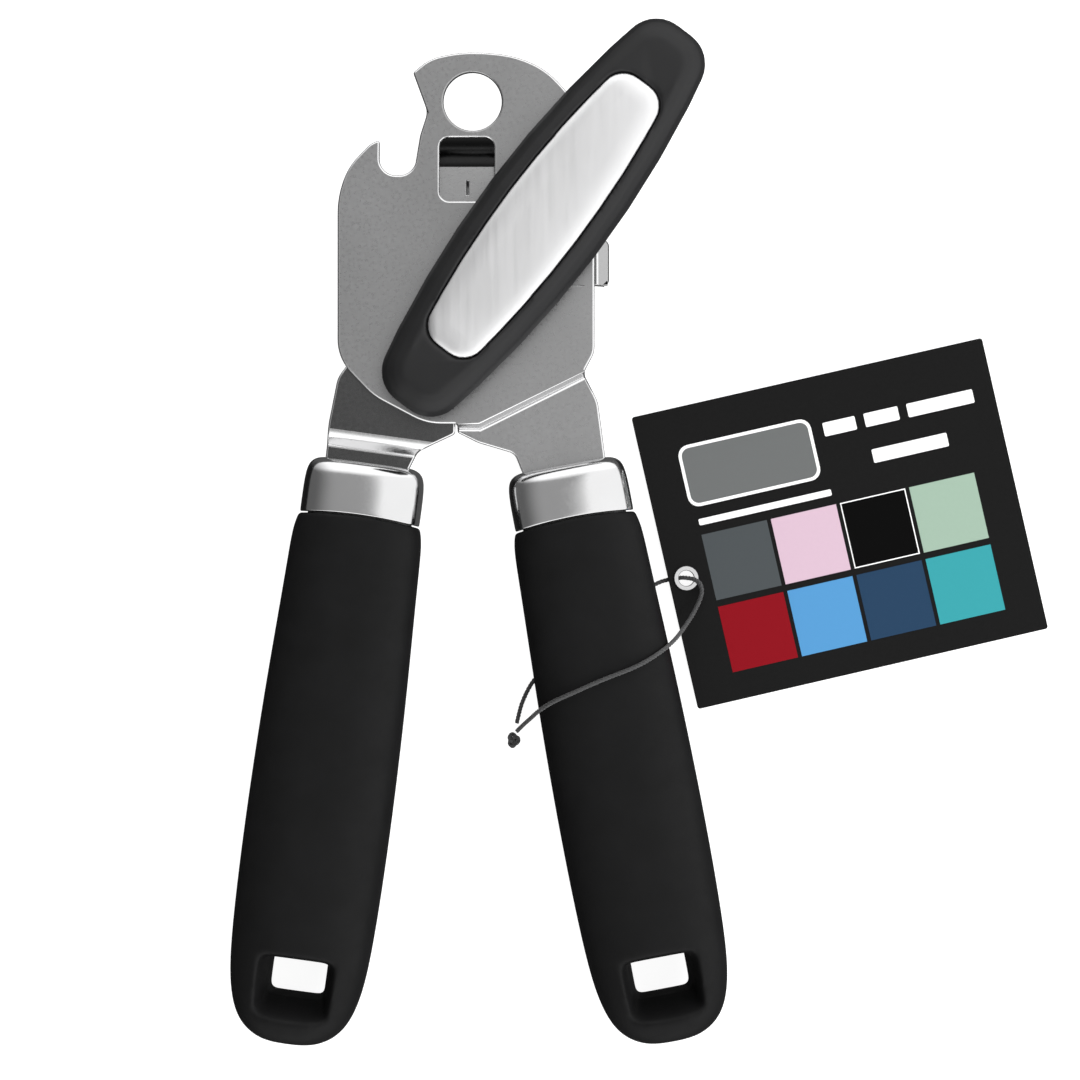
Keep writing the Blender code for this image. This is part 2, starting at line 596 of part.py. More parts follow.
def wing_outline(half_length, half_width, corner, inset=0.0):
    """Long outline with two shallow arcs for sides and rounded ends, drawn along +Y."""
    reach = half_length - inset
    side = []
    for i in range(-4, 5):
        y = (reach - 0.5) * i / 4
        side.append((half_width - inset - y * y / (2 * KNOB_SIDE_R), y))
    corner = max(0.5, corner - inset)
    right = [(x, y, corner if abs(i) == 4 else 0.0) for i, (x, y) in zip(range(-4, 5), side)]
    left = [(-x, -y, r) for x, y, r in right]
    ends = [right[0][:2] + (corner,)] + right[1:-1] + [right[-1][:2] + (corner,)]
    ends += [left[0][:2] + (corner,)] + left[1:-1] + [left[-1][:2] + (corner,)]
    return rounded(ends)


def crowned(mesh, share=1.0):
    """Lower everything towards the two ends of the wing, so that the top is a shallow arch."""
    for i in range(-9, 10):
        parts = list(mesh.verts) + list(mesh.edges) + list(mesh.faces)
        bmesh.ops.bisect_plane(mesh, geom=parts, dist=0.0001, plane_co=(0, i * 5.0, 0),
                               plane_no=(0, 1, 0))
    for vert in mesh.verts:
        vert.co.z -= share * KNOB_CROWN * (vert.co.y / KNOB_HALF_LENGTH) ** 2
    return mesh


def wing_piece(mesh):
    """Turn a piece drawn along +Y to the knob's rest position."""
    bmesh.ops.rotate(mesh, cent=(0, 0, 0), matrix=Matrix.Rotation(KNOB_TURN, 3, "Z"),
                     verts=mesh.verts)
    return mesh


def knob_shell(material, spin):
    """Moulded wing with rounded rims, pocketed from above for the steel core and the insert."""
    top, floor, seat = knob_levels()
    steps = [(0.0, 3.6, 1.0), (1.2, 1.4, 0.7), (3.2, 0.2, 0.3), (5.4, 0.0, 0.0),
             (7.8, 0.9, -0.5), (9.6, 2.6, -0.9), (KNOB_HEIGHT, 4.6, -1.0)]
    rings = []
    for rise, inset, arch in steps:
        outline = wing_outline(KNOB_HALF_LENGTH, KNOB_HALF_WIDTH, KNOB_CORNER_R, inset)
        rings.append([(x, y, KNOB_Z + rise + arch * KNOB_CROWN * (y / KNOB_HALF_LENGTH) ** 2)
                      for x, y in outline])
    shell = piece("knob_shell", wing_piece(lofted(rings)), material, spin)
    pocket = wing_outline(INSERT_HALF_LENGTH + TOUCH, INSERT_HALF_WIDTH + TOUCH, INSERT_CORNER_R)
    cut(shell, wing_piece(crowned(extruded(pocket, seat - TOUCH, top + 3))), "insert_seat")
    slot = box_outline((-CORE_HALF_WIDTH - TOUCH, -CORE_HALF_LENGTH - TOUCH),
                       (CORE_HALF_WIDTH + TOUCH, CORE_HALF_LENGTH + TOUCH), 2.0)
    cut(shell, wing_piece(extruded(slot, floor - TOUCH, seat + 0.5)), "core_pocket")
    cut(shell, disc(SHAFT_R + RUN, KNOB_Z - 1, floor + 1), "knob_bore")
    return shell


def knob_pieces(spin, colour):
    """Shell, the steel bar fixed on the shaft, and the brushed cover plate over it."""
    knob_shell(colour("knob_shell"), spin)
    top, floor, seat = knob_levels()
    bar = box_outline((-CORE_HALF_WIDTH, -CORE_HALF_LENGTH), (CORE_HALF_WIDTH, CORE_HALF_LENGTH), 2.0)
    core = piece("knob_core", wing_piece(extruded(bar, floor, floor + CORE_THICK)),
                 colour("knob_core"), spin)
    cut(core, disc(SQUARE_R + TOUCH, floor - 1, floor + CORE_THICK + 1), "core_hole")
    plate = wing_outline(INSERT_HALF_LENGTH, INSERT_HALF_WIDTH, INSERT_CORNER_R)
    piece("knob_insert", wing_piece(crowned(extruded(plate, seat, top + 0.2))),
          colour("knob_insert"), spin)


# ---------------------------------------------------------------- handles

def grip_rings():
    """Sections of a grip from its seam with the ferrule to its butt."""
    start = FERRULE_LENGTH + TOUCH
    return [oval(GRIP_WIDTH / 2 * wide, GRIP_THICK / 2 * thick, start + GRIP_LENGTH * share)
            for share, wide, thick in GRIP_SHAPE]


def hang_hole():
    """Tapered hole through the butt of a grip: wide mouth above, narrow waist near the back."""
    levels = [(-1.15, 8.2, 6.6), (-1.0, 7.6, 6.0), (-0.69, 6.2, 4.6), (0.52, 7.0, 5.4),
              (0.85, 7.6, 6.0), (1.03, 9.2, 7.4), (1.15, 10.2, 8.4)]
    rings = []
    for share, across, along in levels:
        outline = box_outline((-across, -along), (across, along), 2.6)
        rings.append([(x, y - HOLE_PLACE, share * GRIP_THICK / 2) for x, y in outline])
    return lofted(rings)


def core_rings(extra=0.0):
    """Rigid core: a neck inside the ferrule and a long tapering body inside the grip."""
    neck_end = FERRULE_LENGTH + 0.5
    wide = FERRULE_HALF_WIDTH - FERRULE_WALL - CORE_GAP
    thick = FERRULE_HALF_THICK - FERRULE_WALL - CORE_GAP
    if extra:
        body = [(neck_end - 2.0, wide + 0.2, thick + 0.2), (CORE_END + TOUCH, CORE_TIP_WIDTH, CORE_TIP_THICK)]
    else:
        body = [(neck_end - NECK_LENGTH, wide, thick), (neck_end, wide, thick),
                (CORE_END, CORE_TIP_WIDTH, CORE_TIP_THICK)]
    return [oval(wide + extra, thick + extra, place, squareness=3.2) for place, wide, thick in body]


def ferrule_rings(profile):
    """Sections of a ferrule: place, and how far the section is in from its widest and thickest."""
    return [oval(FERRULE_HALF_WIDTH - narrow, FERRULE_HALF_THICK - thin, place)
            for place, narrow, thin in profile]


def handle_pieces(side, top, lean, parent, axis, colour):
    """Ferrule, grip, rigid core and cross pin of one handle, placed on its arm's tang."""
    frame = handle_frame(top, lean)

    def placed(mesh):
        bmesh.ops.transform(mesh, matrix=frame, verts=mesh.verts)
        return mesh

    outer = [(0.0, 3.05, 2.8), (0.5, 1.75, 1.8), (1.6, 0.65, 0.9), (3.4, 0.15, 0.3),
             (6.0, 0.0, 0.1), (FERRULE_LENGTH, 0.05, 0.0)]
    ferrule = piece(side + "_ferrule", placed(lofted(ferrule_rings(outer))),
                    colour(side + "_ferrule"), parent, axis)
    wall = FERRULE_WALL
    inner = [(1.2, 3.35, 3.0), (2.2, 1.75, 1.8), (4.0, 0.15 + wall, 0.3 + wall),
             (FERRULE_LENGTH + 1, 0.05 + wall, 0.1 + wall)]
    cut(ferrule, placed(lofted(ferrule_rings(inner))), side + "_ferrule_bore", axis)
    half = TANG_WIDTH / 2 + SHOULDER + 0.4
    mouth = extruded(box_outline((-half, -4.0), (half, 1.0), 0.2), -SHEET / 2 - 0.4, SHEET / 2 + 0.4)
    cut(ferrule, placed(mouth), side + "_ferrule_mouth", axis)

    grip = piece(side + "_grip", placed(lofted(grip_rings())), colour(side + "_grip"), parent, axis)
    cut(grip, placed(lofted(core_rings(TOUCH))), side + "_socket", axis)
    cut(grip, placed(hang_hole()), side + "_hang_hole", axis)

    core = piece(side + "_core", placed(lofted(core_rings())), colour(side + "_core"), parent, axis)
    half = TANG_WIDTH / 2 + TOUCH
    slot = box_outline((-half, -TANG_LENGTH - 1.0), (half, 0.0), 0.5)
    cut(core, placed(extruded(slot, -SHEET / 2 - TOUCH, SHEET / 2 + TOUCH)), side + "_tang_slot", axis)
    cut(core, placed(disc(PIN_R + TOUCH, -8, 8, (0, -PIN_PLACE), 16)), side + "_pin_bore", axis)
    pin = placed(disc(PIN_R, -4.4, 4.4, (0, -PIN_PLACE), 16))
    piece(side + "_tang_pin", pin, colour(side + "_tang_pin"), parent, axis)


# ---------------------------------------------------------------- tag and string

def tag_frame():
    """Matrix from the card's own frame to the drawing: turned, and lifted at the eyelet's side."""
    hinge = Vector((TAG_WIDTH / 2, 0, 0))
    tilt = Matrix.Translation(hinge) @ Matrix.Rotation(TAG_TILT, 4, "Y") @ Matrix.Translation(-hinge)
    place = Matrix.Translation((TAG_CENTRE.x, TAG_CENTRE.y, 0.02))
    return place @ Matrix.Rotation(TAG_TURN, 4, "Z") @ tilt


def tag_pieces(right, colour):
    frame = tag_frame()
    half = Vector((TAG_WIDTH / 2, TAG_HEIGHT / 2))
    card = extruded(box_outline(-half, half, 0.6), 0, TAG_THICK)
    bmesh.ops.transform(card, matrix=frame, verts=card.verts)
    card = piece("tag_card", card, colour("tag_card"), right)
    barrel = EYELET_R + EYELET_WALL
    hole = disc(barrel + CARD_GAP, -1, TAG_THICK + 1, EYELET, 24)
    bmesh.ops.transform(hole, matrix=frame, verts=hole.verts)
    cut(card, hole, "eyelet_hole")
    low, high = -CARD_GAP, TAG_THICK + CARD_GAP
    ring = [(EYELET_R, low - EYELET_WALL), (EYELET_FLANGE_R, low - EYELET_WALL),
            (EYELET_FLANGE_R, low), (barrel, low), (barrel, high), (EYELET_FLANGE_R, high),
            (EYELET_FLANGE_R - 0.2, high + EYELET_WALL), (EYELET_R + 0.1, high + EYELET_WALL),
            (EYELET_R, high)]
    eyelet = turned(ring, EYELET, 24)
    bmesh.ops.transform(eyelet, matrix=frame, verts=eyelet.verts)
    piece("tag_eyelet", eyelet, colour("tag_eyelet"), right)


def smooth_path(route, spacing):
    """Points at an even spacing along a smooth curve through the route."""
    ends = [2 * route[0] - route[1]] + route + [2 * route[-1] - route[-2]]
    fine = []
    for a, b, c, d in zip(ends, ends[1:], ends[2:], ends[3:]):
        for i in range(12):
            t = i / 12
            fine.append(0.5 * ((2 * b) + (c - a) * t + (2 * a - 5 * b + 4 * c - d) * t * t
                               + (3 * b - a - 3 * c + d) * t ** 3))
    fine.append(route[-1])
    total = sum((q - p).length for p, q in zip(fine, fine[1:]))
    count = ceil(total / spacing)
    even, walked, target = [fine[0]], 0.0, total / count
    for p, q in zip(fine, fine[1:]):
        span = (q - p).length
        while walked + span >= target - 1e-6 and len(even) < count:
            even.append(p.lerp(q, (target - walked) / span))
            target += total / count
        walked += span
    even.append(fine[-1])
    return even


def tag_string(material, parent):
    """Thin cord: over the right grip, down through the eyelet and back under the grip."""
    route = [Vector(point) for point in STRING_ROUTE]
    path = smooth_path(route, 2.6 * 2 * STRING_R)
    curve = bpy.data.curves.new("tag_string", "CURVE")
    curve.dimensions = "3D"
    curve.bevel_depth = STRING_R * MM
    curve.bevel_resolution = 2
    curve.use_fill_caps = True
    spline = curve.splines.new("POLY")
    spline.points.add(len(path) - 1)
    for point, place in zip(spline.points, path):
        point.co = (*(place * MM), 1.0)
    curve.materials.append(material)
    thing = bpy.data.objects.new("tag_string", curve)
    bpy.context.collection.objects.link(thing)
    put_under(thing, (0, 0), parent)


def string_knot(material, parent):
    """The knot that closes the loop."""
    mesh = bmesh.new()
    bmesh.ops.create_uvsphere(mesh, u_segments=14, v_segments=9, radius=KNOT_R)
    bmesh.ops.scale(mesh, vec=(0.9, 1.15, 0.85), verts=mesh.verts)
    bmesh.ops.translate(mesh, vec=KNOT - Vector((0.2, 0.9, 0)), verts=mesh.verts)
    piece("string_knot", mesh, material, parent)


# ---------------------------------------------------------------- the whole opener

def stand_on_base(root):
    """Shift everything so that the origin is under the middle of the opener itself."""
    bpy.context.view_layer.update()
    graph = bpy.context.evaluated_depsgraph_get()
    low, high = [1e9] * 3, [-1e9] * 3
    for thing in bpy.data.objects:
        if thing.type != "MESH" or thing.hide_render or thing.name.startswith(("tag_", "string_")):
            continue
        shape = thing.evaluated_get(graph)
        for vert in shape.data.vertices:
            place = shape.matrix_world @ vert.co
            low = [min(a, b) for a, b in zip(low, place)]
            high = [max(a, b) for a, b in zip(high, place)]
    root.location = (-(low[0] + high[0]) / 2, -(low[1] + high[1]) / 2, -low[2])


def build():
    clear_scene()
    colours = {
        "front_plate": steel("front_plate", 0.6, 0.28), "rear_plate": steel("rear_plate", 0.42, 0.32),
        "pivot_rivet": steel("pivot_rivet"), "pivot_washer": steel("pivot_washer"),
        "rim_guide": steel("rim_guide", 0.5), "cutter_stud": steel("cutter_stud"),
        "cutter_spacer": steel("cutter_spacer", 0.5), "cutter_wheel": steel("cutter_wheel", 0.7, 0.2),
        "drive_bushing": steel("drive_bushing", 0.5), "drive_shaft": steel("drive_shaft"),
        "feed_wheel": steel("feed_wheel", 0.55), "feed_collar": steel("feed_collar"),
        "knob_washer": steel("knob_washer"), "knob_core": steel("knob_core", 0.5),
        "knob_insert": steel("knob_insert", 0.75, 0.25),
        "knob_shell": finish("knob_shell", (0.02, 0.02, 0.02), 0.45, 0.0),
        "left_ferrule": steel("left_ferrule", 0.75, 0.15),
        "right_ferrule": steel("right_ferrule", 0.75, 0.15),
        "left_grip": finish("left_grip", (0.018, 0.018, 0.018), 0.55, 0.0),
        "right_grip": finish("right_grip", (0.018, 0.018, 0.018), 0.55, 0.0),
        "left_core": finish("left_core", (0.06, 0.06, 0.06), 0.5, 0.0),
        "right_core": finish("right_core", (0.06, 0.06, 0.06), 0.5, 0.0),
        "left_tang_pin": steel("left_tang_pin"), "right_tang_pin": steel("right_tang_pin"),
        "tag_card": finish("tag_card", (0.015, 0.015, 0.015), 0.6, 0.0),
        "tag_eyelet": steel("tag_eyelet", 0.7, 0.15),
        "tag_string": finish("tag_string", (0.03, 0.03, 0.03), 0.8, 0.0),
        "string_knot": finish("string_knot", (0.03, 0.03, 0.03), 0.8, 0.0),
    }
    colour = colours.get
    root = joint_empty("right_arm", (0, 0))
    left = joint_empty("left_arm", PIVOT, root)
    drive = joint_empty("drive", (0, 0), left)
    cutter = joint_empty("cutter", CUTTER, root)
    front_plate(colour("front_plate"), root)
    rear_plate(colour("rear_plate"), left)
    pivot_pieces(root, colour)
    rim_guide(colour("rim_guide"), root)
    cutter_pieces(root, cutter, colour)
    drive_pieces(left, drive, colour)
    knob_pieces(drive, colour)
    handle_pieces("right", RIGHT_TOP, RIGHT_LEAN, root, (0.0, 0.0), colour)
    handle_pieces("left", LEFT_TOP, LEFT_LEAN, left, PIVOT, colour)
    tag_pieces(root, colour)
    tag_string(colour("tag_string"), root)
    string_knot(colour("string_knot"), root)
    stand_on_base(root)


build()
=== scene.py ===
"""A hand-held can opener on a white table, seen from straight above: two stamped steel arms, a wing
knob with a brushed cover plate, soft black grips in polished ferrules, and a hang tag on a string.
"""

from bisect import bisect_right
from math import atan2, cos, pi, radians, sin

import bpy
from mathutils import Matrix, Vector


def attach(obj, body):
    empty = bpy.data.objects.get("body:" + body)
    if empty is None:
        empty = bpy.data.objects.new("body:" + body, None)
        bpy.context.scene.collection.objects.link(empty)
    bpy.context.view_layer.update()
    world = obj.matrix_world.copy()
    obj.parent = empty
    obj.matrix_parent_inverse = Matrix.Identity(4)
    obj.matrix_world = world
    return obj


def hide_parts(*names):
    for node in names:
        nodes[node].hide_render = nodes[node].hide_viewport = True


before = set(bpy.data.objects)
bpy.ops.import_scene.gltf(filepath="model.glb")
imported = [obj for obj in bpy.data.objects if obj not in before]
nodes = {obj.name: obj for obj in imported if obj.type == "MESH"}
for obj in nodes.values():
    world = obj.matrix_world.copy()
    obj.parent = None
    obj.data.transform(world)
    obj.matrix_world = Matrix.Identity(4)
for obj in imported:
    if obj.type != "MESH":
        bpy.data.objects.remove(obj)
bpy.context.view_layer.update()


# ---------------------------------------------------------------- camera
# The opener is seen from straight above, from about the length of an arm.

camera_data = bpy.data.cameras.new("camera")
camera_data.sensor_width = 36.0
camera_data.lens = 91.63
camera = bpy.data.objects.new("camera", camera_data)
camera.location = (0.0131, -0.0007, 0.6)
bpy.context.collection.objects.link(camera)
bpy.context.scene.camera = camera


# ---------------------------------------------------------------- tag string
# Thin waxed cord of three twisted plies. It is tied in a loop that passes over the right grip,
# down through the tag's eyelet and back under the grip to the knot between the two grips.

MM = 0.001
PLIES, PLY_OUT, PLY_THICK, TWIST_PITCH = 3, 0.24 * MM, 0.52 * MM, 2.2 * MM
STRING_PARTS = 22
STRING_POINTS = [
    (8.13, -42.14, 3.2), (9.43, -40.64, 6.8), (11.03, -38.94, 11.0), (13.03, -36.94, 14.8),
    (16.03, -34.94, 17.2), (20.33, -32.94, 18.3), (26.73, -30.14, 18.4), (33.33, -27.54, 18.0),
    (38.03, -24.94, 16.2), (41.63, -22.34, 12.0), (44.33, -19.34, 7.6), (46.73, -15.74, 4.9),
    (48.13, -12.14, 4.2), (47.43, -9.74, 3.9), (45.03, -8.94, 2.5), (42.43, -9.14, 1.1),
    (37.93, -10.54, 0.8), (29.83, -16.54, 0.8), (21.23, -23.14, 0.8), (14.33, -28.74, 0.8),
    (11.33, -31.94, 0.8), (9.23, -36.14, 0.9), (8.03, -40.54, 1.3),
]


def smooth_line(points, parts):
    """A curve through all the points, in metres, with the same number of parts between each two."""
    points = [Vector(point) for point in points]
    ends = [2 * points[0] - points[1]] + points + [2 * points[-1] - points[-2]]
    line = []
    for a, b, c, d in zip(ends, ends[1:], ends[2:], ends[3:]):
        for i in range(parts):
            t = i / parts
            line.append(0.5 * (2 * b + (c - a) * t + (2 * a - 5 * b + 4 * c - d) * t * t
                               + (3 * b - a - 3 * c + d) * t ** 3) * MM)
    line.append(points[-1] * MM)
    return line


def twisted(name, line, thick):
    """The cord's plies wound round a line, as one mesh."""
    curve = bpy.data.curves.new(name, "CURVE")
    curve.dimensions = "3D"
    curve.bevel_depth = thick / 2
    curve.bevel_resolution = 1
    curve.use_fill_caps = True
    walked = [0.0]
    for a, b in zip(line, line[1:]):
        walked.append(walked[-1] + (b - a).length)
    across = Vector((0, 0, 1)).cross(line[1] - line[0]).normalized()
    for ply in range(PLIES):
        spline = curve.splines.new("POLY")
        spline.points.add(len(line) - 1)
        side = across
        for i, here in enumerate(line):
            ahead = (line[min(i + 1, len(line) - 1)] - line[max(i - 1, 0)]).normalized()
            side = (side - ahead * side.dot(ahead)).normalized()
            angle = 2 * pi * (walked[i] / TWIST_PITCH + ply / PLIES)
            out = side * cos(angle) + ahead.cross(side) * sin(angle)
            spline.points[i].co = (*(here + out * PLY_OUT), 1.0)
    thing = bpy.data.objects.new(name, curve)
    bpy.context.collection.objects.link(thing)
    bpy.ops.object.select_all(action="DESELECT")
    bpy.context.view_layer.objects.active = thing
    thing.select_set(True)
    bpy.ops.object.convert(target="MESH")
    thing = bpy.context.view_layer.objects.active
    bpy.ops.object.shade_smooth()
    return thing


def new_finish(name, color, roughness, metallic=0.0):
    """A material, its node tree and its Principled shader."""
    material = bpy.data.materials.new(name)
    material.use_nodes = True
    tree = material.node_tree
    shader = tree.nodes["Principled BSDF"]
    shader.inputs["Base Color"].default_value = (*color, 1.0)
    shader.inputs["Roughness"].default_value = roughness
    shader.inputs["Metallic"].default_value = metallic
    return material, tree, shader


def object_grain(tree, scale, detail, stretch=(1, 1, 1), turn=0.0):
    """Noise on the piece's own coordinates, stretched along a direction in the plane."""
    place = tree.nodes.new("ShaderNodeTexCoord")
    mapping = tree.nodes.new("ShaderNodeMapping")
    mapping.inputs["Rotation"].default_value = (0, 0, turn)
    mapping.inputs["Scale"].default_value = stretch
    tree.links.new(place.outputs["Object"], mapping.inputs["Vector"])
    noise = tree.nodes.new("ShaderNodeTexNoise")
    noise.inputs["Scale"].default_value = scale
    noise.inputs["Detail"].default_value = detail
    tree.links.new(mapping.outputs["Vector"], noise.inputs["Vector"])
    return noise.outputs["Fac"]


def between(tree, fac, low, high):
    """Spread a noise value over a range."""
    spread = tree.nodes.new("ShaderNodeMapRange")
    spread.inputs["From Min"].default_value = 0.3
    spread.inputs["From Max"].default_value = 0.7
    spread.inputs["To Min"].default_value = low
    spread.inputs["To Max"].default_value = high
    tree.links.new(fac, spread.inputs["Value"])
    return spread.outputs["Result"]


def bumped(tree, shader, fac, depth, strength=1.0, under=None):
    """Raise the surface by a noise value, depth in metres, over an earlier bump."""
    bump = tree.nodes.new("ShaderNodeBump")
    bump.inputs["Strength"].default_value = strength
    bump.inputs["Distance"].default_value = depth
    tree.links.new(fac, bump.inputs["Height"])
    if under is not None:
        tree.links.new(under, bump.inputs["Normal"])
    tree.links.new(bump.outputs["Normal"], shader.inputs["Normal"])
    return bump.outputs["Normal"]


def mottled(tree, shader, fac, dark, light):
    """Let the colour wander between two shades."""
    mix = tree.nodes.new("ShaderNodeMix")
    mix.data_type = "RGBA"
    mix.inputs["A"].default_value = (*dark, 1.0)
    mix.inputs["B"].default_value = (*light, 1.0)
    tree.links.new(fac, mix.inputs["Factor"])
    tree.links.new(mix.outputs["Result"], shader.inputs["Base Color"])


string_finish, tree, shader = new_finish("waxed_cord", (0.03, 0.03, 0.03), 0.55)
mottled(tree, shader, object_grain(tree, 2500, 3), (0.012, 0.012, 0.012), (0.06, 0.06, 0.062))
bumped(tree, shader, object_grain(tree, 9000, 2), 0.00006)
shader.inputs["Sheen Weight"].default_value = 0.2

string_line = smooth_line(STRING_POINTS, STRING_PARTS)
string = twisted("hang_string", string_line, PLY_THICK)
string.data.materials.append(string_finish)
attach(string, "right_arm")
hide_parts("tag_string")

# Overhand knot: the two ends are laid round each other and pulled tight.
KNOT_MIDDLE = Vector((7.33, -44.24, 1.7))
KNOT_HALF = Vector((1.5525, 1.9575, 0.72))
KNOT_STEPS, KNOT_PARTS = 48, 3
KNOT_PLY_THICK = 0.5 * MM
knot_points = []
for step in range(KNOT_STEPS + 1):
    angle = 2 * pi * step / KNOT_STEPS
    swing = 0.42 + 0.26 * cos(3 * angle)
    knot_points.append(KNOT_MIDDLE + KNOT_HALF * Vector((
        swing * cos(2 * angle), swing * sin(2 * angle), sin(3 * angle))))
knot = twisted("hang_knot", smooth_line(knot_points, KNOT_PARTS), KNOT_PLY_THICK)
knot.data.materials.append(string_finish)
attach(knot, "right_arm")
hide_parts("string_knot")


# ---------------------------------------------------------------- table and light
# A seamless white table that glows faintly, and three soft windows. What the steel mirrors is the
# room: pale walls to the right, near and far, a dark one to the left, and a dark floor.

bpy.ops.object.select_all(action="DESELECT")
bpy.ops.mesh.primitive_plane_add(size=6.0, location=(0, 0, -0.0002))
table = bpy.context.object
table.name = "table"
table.visible_glossy = False
table_finish, tree, shader = new_finish("white_table", (0.4, 0.4, 0.4), 0.9)
shader.inputs["Specular IOR Level"].default_value = 0.1
shader.inputs["Emission Color"].default_value = (1, 1, 1, 1)
shader.inputs["Emission Strength"].default_value = 0.9
table.data.materials.append(table_finish)


def soft_light(name, place, size, radiance):
    """A square light that faces the middle of the opener, and isn't mirrored itself."""
    light = bpy.data.lights.new(name, "AREA")
    light.shape = "SQUARE"
    light.size = size
    light.energy = radiance * pi * size * size
    lamp = bpy.data.objects.new(name, light)
    lamp.location = place
    lamp.rotation_euler = (-Vector(place)).to_track_quat("-Z", "Y").to_euler()
    lamp.visible_glossy = False
    bpy.context.collection.objects.link(lamp)


soft_light("window_right", (1.0, -0.1, 0.55), 0.8, 4.2)
soft_light("window_far", (0.1, 1.1, 0.6), 0.7, 2.4)
soft_light("window_near", (0.35, -1.0, 0.5), 0.7, 3.2)

world = bpy.data.worlds.new("room")
world.use_nodes = True
bpy.context.scene.world = world
tree = world.node_tree
room = tree.nodes["Background"]
room.inputs["Color"].default_value = (1, 1, 1, 1)
toward = tree.nodes.new("ShaderNodeTexCoord")
split = tree.nodes.new("ShaderNodeSeparateXYZ")
tree.links.new(toward.outputs["Generated"], split.inputs["Vector"])


def room_math(operation, one, other):
    """One arithmetic step between two values of the room's brightness."""
    node = tree.nodes.new("ShaderNodeMath")
    node.operation = operation
    for socket, value in zip(node.inputs, (one, other)):
        if isinstance(value, float):
            socket.default_value = value
        else:
            tree.links.new(value, socket)
    return node.outputs["Value"]


def room_ramp(value, start, end, low, high):
    """A brightness that changes smoothly from low to high between two heights or sides."""
    ramp = tree.nodes.new("ShaderNodeMapRange")
    ramp.interpolation_type = "SMOOTHSTEP"
    ramp.inputs["From Min"].default_value = start
    ramp.inputs["From Max"].default_value = end
    ramp.inputs["To Min"].default_value = low
    ramp.inputs["To Max"].default_value = high
    tree.links.new(value, ramp.inputs["Value"])
    return ramp.outputs["Result"]


right_wall = room_ramp(split.outputs["X"], -0.04, 0.2, 0.4, 1.25)
left_wall = room_ramp(split.outputs["X"], -0.9, -0.3, 0.35, 1.0)
end_walls = room_ramp(room_math("ABSOLUTE", split.outputs["Y"], 0.0), 0.3, 0.62, 0.0, 1.5)
above = room_math("MULTIPLY", room_math("MAXIMUM", right_wall, end_walls), left_wall)
over_floor = room_ramp(split.outputs["Z"], -0.1, 0.02, 0.08, 1.0)
tree.links.new(room_math("MULTIPLY", above, over_floor), room.inputs["Strength"])
bpy.context.scene.view_settings.view_transform = "Standard"


# ---------------------------------------------------------------- front plate
# The right arm, stamped from 1.6 mm stainless sheet with the hanging hole, the bottle-opener notch
# and a window. Its faces are satin; its rounded edges and pressed bends carry a painted highlight.


def steel_finish(name, shade, roughness, grain=1400, stretch=(1, 1, 1), turn=0.0, depth=0.000004):
    """Stainless steel: a fine grain, wandering gloss, and a faint cloudiness from handling."""
    material, tree, shader = new_finish(name, (shade, shade, shade * 1.005), roughness, 1.0)
    cloud = object_grain(tree, 38, 3)
    mottled(tree, shader, cloud, (shade * 0.86,) * 3, (shade * 1.12, shade * 1.12, shade * 1.13))
    fine = object_grain(tree, grain, 3, stretch, turn)
    tree.links.new(between(tree, fine, roughness - 0.05, roughness + 0.06), shader.inputs["Roughness"])
    scratches = object_grain(tree, 900, 2, (1, 0.05, 1), turn + 0.4)
    under = bumped(tree, shader, scratches, 0.000002, 0.15)
    bumped(tree, shader, fine, depth, 0.3, under)
    return material


def bend_step(sheet, level, radius):
    """Round the long edge where a sheet starts to step down from the given level."""
    bpy.ops.object.mode_set(mode="EDIT")
    bpy.ops.mesh.select_mode(type="EDGE")
    bpy.ops.mesh.select_all(action="DESELECT")
    bpy.ops.object.mode_set(mode="OBJECT")
    faces_at = {}
    for face in sheet.data.polygons:
        for key in face.edge_keys:
            faces_at.setdefault(key, []).append(face.normal.z)
    for edge in sheet.data.edges:
        ends = [sheet.data.vertices[i].co for i in edge.vertices]
        slopes = sorted(faces_at[edge.key])
        edge.select = (all(abs(end.z - level) < 0.05 * MM for end in ends)
                       and slopes[-1] > 0.99 and 0.1 < slopes[0] < 0.95)
    bpy.ops.object.mode_set(mode="EDIT")
    bpy.ops.mesh.bevel(offset=radius, segments=6, affect="EDGES")
    bpy.ops.object.mode_set(mode="OBJECT")


def merged_copy(name, node_name):
    """A copy of a drawn piece whose loose triangles are joined into larger faces."""
    bpy.ops.object.select_all(action="DESELECT")
    copy = nodes[node_name].copy()
    copy.data = nodes[node_name].data.copy()
    copy.name = name
    for key in [key for key in copy.keys() if key.startswith("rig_")]:
        del copy[key]
    copy.parent = None
    copy.data.materials.clear()
    bpy.context.collection.objects.link(copy)
    bpy.context.view_layer.objects.active = copy
    copy.select_set(True)
    bpy.ops.object.mode_set(mode="EDIT")
    bpy.ops.mesh.select_all(action="SELECT")
    bpy.ops.mesh.remove_doubles(threshold=0.002 * MM)
    bpy.ops.mesh.dissolve_limited(angle_limit=radians(0.4))
    bpy.ops.object.mode_set(mode="OBJECT")
    return copy


CUTS = [((0, 1, 0), range(-56, 110, 10)), ((1, 0, 0), range(-30, 40, 10))]


def in_squares(sheet):
    """Cut a sheet's wide faces every 10 mm each way, so that none of its triangles is a long sliver."""
    bpy.ops.object.mode_set(mode="EDIT")
    for across, places in CUTS:
        for place in places:
            bpy.ops.mesh.select_all(action="SELECT")
            bpy.ops.mesh.bisect(plane_co=Vector(across) * place * MM, plane_no=across)
    bpy.ops.object.mode_set(mode="OBJECT")


